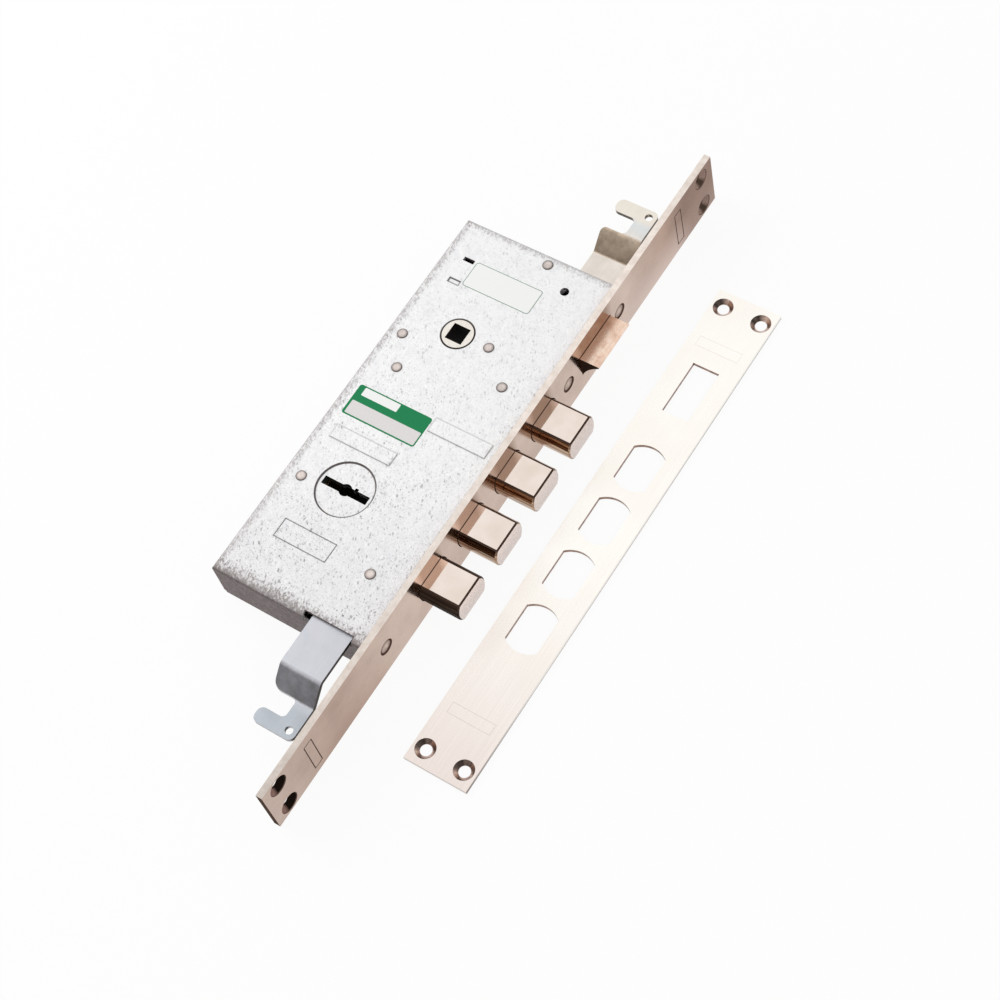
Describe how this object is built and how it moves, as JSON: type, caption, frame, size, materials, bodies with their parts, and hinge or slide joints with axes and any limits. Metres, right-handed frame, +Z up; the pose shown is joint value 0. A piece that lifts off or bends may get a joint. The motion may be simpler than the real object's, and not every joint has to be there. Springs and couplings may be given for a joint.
{
  "type": "mortise lock",
  "caption": "Flat sheet-steel mortise lock case with a long forend, round deadbolts with flats, a hollow-ground latch, rod hooks at both ends and a loose strike plate.",
  "frame": {"origin": "centre of the forend's front face, which lies flush with the door edge", "axes": "+X the way the bolts go out, +Y along the forend to the latch end, +Z up out of the keyhole face; the lock lies on its back"},
  "size_m": [0.1368, 0.338, 0.03],
  "materials": {
    "galvanised_sheet": "galvanised, mottled",
    "rivet_steel": "satin",
    "rose_nickel": "brushed",
    "bolt_nickel": "polished",
    "latch_nickel": "polished",
    "hook_zinc": "zinc plated",
    "hook_warm": "zinc plated",
    "inner_steel": "bare",
    "spring_steel": "bare",
    "hard_steel": "hardened, dark",
    "follower_nickel": "nickel plated",
    "lever_brass": "bare",
    "strike_nickel": "polished"
  },
  "bodies": {
    "lock_case": {"case_shell": "galvanised_sheet", "back_cover": "galvanised_sheet", "case_pillars": "rivet_steel", "face_studs": "rivet_steel", "forend_plate": "rose_nickel", "forend_screws": "rose_nickel", "forend_nuts": "inner_steel", "drill_guard": "hard_steel", "guard_rivets": "rivet_steel", "lever_post": "inner_steel", "lever_springs": "spring_steel", "spring_anchor": "inner_steel", "latch_spring": "spring_steel", "follower_spring": "spring_steel"},
    "bolt_work": {"bolt_carriage": "inner_steel", "bolt_pins": "inner_steel", "lever_stump": "inner_steel", "deadbolt_1": "bolt_nickel", "deadbolt_2": "bolt_nickel", "deadbolt_3": "bolt_nickel", "deadbolt_4": "bolt_nickel"},
    "latch": {"latch_bolt": "latch_nickel", "latch_tail": "inner_steel"},
    "follower": {"follower_hub": "follower_nickel"},
    "front_disc": {"front_key_disc": "galvanised_sheet"},
    "rear_disc": {"rear_key_disc": "galvanised_sheet"},
    "lower_rod_hook": {"lower_hook": "hook_zinc", "lower_hook_pin": "inner_steel"},
    "upper_rod_hook": {"upper_hook": "hook_warm", "upper_hook_pin": "inner_steel"},
    "strike": {"strike_plate": "strike_nickel"},
    "lever_body_1": {"lever_1": "lever_brass"},
    "lever_body_2": {"lever_2": "lever_brass"},
    "lever_body_3": {"lever_3": "lever_brass"},
    "lever_body_4": {"lever_4": "lever_brass"},
    "lever_body_5": {"lever_5": "lever_brass"},
    "lever_body_6": {"lever_6": "lever_brass"}
  },
  "joints": [
    {"name": "bolt_throw", "type": "slide", "parent": "lock_case", "child": "bolt_work", "axis": [1, 0, 0], "range_m": [-0.018, 0]},
    {"name": "key_turn", "type": "hinge", "parent": "lock_case", "child": "front_disc", "pos_m": [-0.0505, -0.0412, 0], "axis": [0, 0, 1], "range_deg": [-360, 0]},
    {"name": "rear_key_turn", "type": "hinge", "parent": "lock_case", "child": "rear_disc", "pos_m": [-0.0505, -0.0412, 0], "axis": [0, 0, 1], "range_deg": [-360, 0]},
    {"name": "lower_hook_slide", "type": "slide", "parent": "lock_case", "child": "lower_rod_hook", "axis": [0, 1, 0], "range_m": [0, 0.014]},
    {"name": "upper_hook_slide", "type": "slide", "parent": "lock_case", "child": "upper_rod_hook", "axis": [0, 1, 0], "range_m": [-0.014, 0]},
    {"name": "follower_turn", "type": "hinge", "parent": "lock_case", "child": "follower", "pos_m": [-0.0505, 0.0438, 0], "axis": [0, 0, 1], "range_deg": [0, 30], "stiffness_Nm_per_rad": 1},
    {"name": "latch_slide", "type": "slide", "parent": "lock_case", "child": "latch", "axis": [1, 0, 0], "range_m": [-0.0092, 0]},
    {"name": "lever_1_slide", "type": "slide", "parent": "lock_case", "child": "lever_body_1", "axis": [0, 1, 0], "range_m": [-0.002, 0.002], "stiffness_N_per_m": 300},
    {"name": "lever_2_slide", "type": "slide", "parent": "lock_case", "child": "lever_body_2", "axis": [0, 1, 0], "range_m": [-0.002, 0.002], "stiffness_N_per_m": 300},
    {"name": "lever_3_slide", "type": "slide", "parent": "lock_case", "child": "lever_body_3", "axis": [0, 1, 0], "range_m": [-0.002, 0.002], "stiffness_N_per_m": 300},
    {"name": "lever_4_slide", "type": "slide", "parent": "lock_case", "child": "lever_body_4", "axis": [0, 1, 0], "range_m": [-0.002, 0.002], "stiffness_N_per_m": 300},
    {"name": "lever_5_slide", "type": "slide", "parent": "lock_case", "child": "lever_body_5", "axis": [0, 1, 0], "range_m": [-0.002, 0.002], "stiffness_N_per_m": 300},
    {"name": "lever_6_slide", "type": "slide", "parent": "lock_case", "child": "lever_body_6", "axis": [0, 1, 0], "range_m": [-0.002, 0.002], "stiffness_N_per_m": 300},
    {"name": "strike_lift_off", "type": "slide", "parent": "lock_case", "child": "strike", "axis": [1, 0, 0], "range_m": [0, 0.06]}
  ],
  "couplings": [
    {"joint": "key_turn", "follows": "bolt_throw", "rad_per_m": 349},
    {"joint": "rear_key_turn", "follows": "bolt_throw", "rad_per_m": 349},
    {"joint": "lower_hook_slide", "follows": "bolt_throw", "ratio": -0.77777},
    {"joint": "upper_hook_slide", "follows": "bolt_throw", "ratio": 0.77777},
    {"joint": "follower_turn", "follows": "latch_slide", "rad_per_m": -56.913}
  ]
}
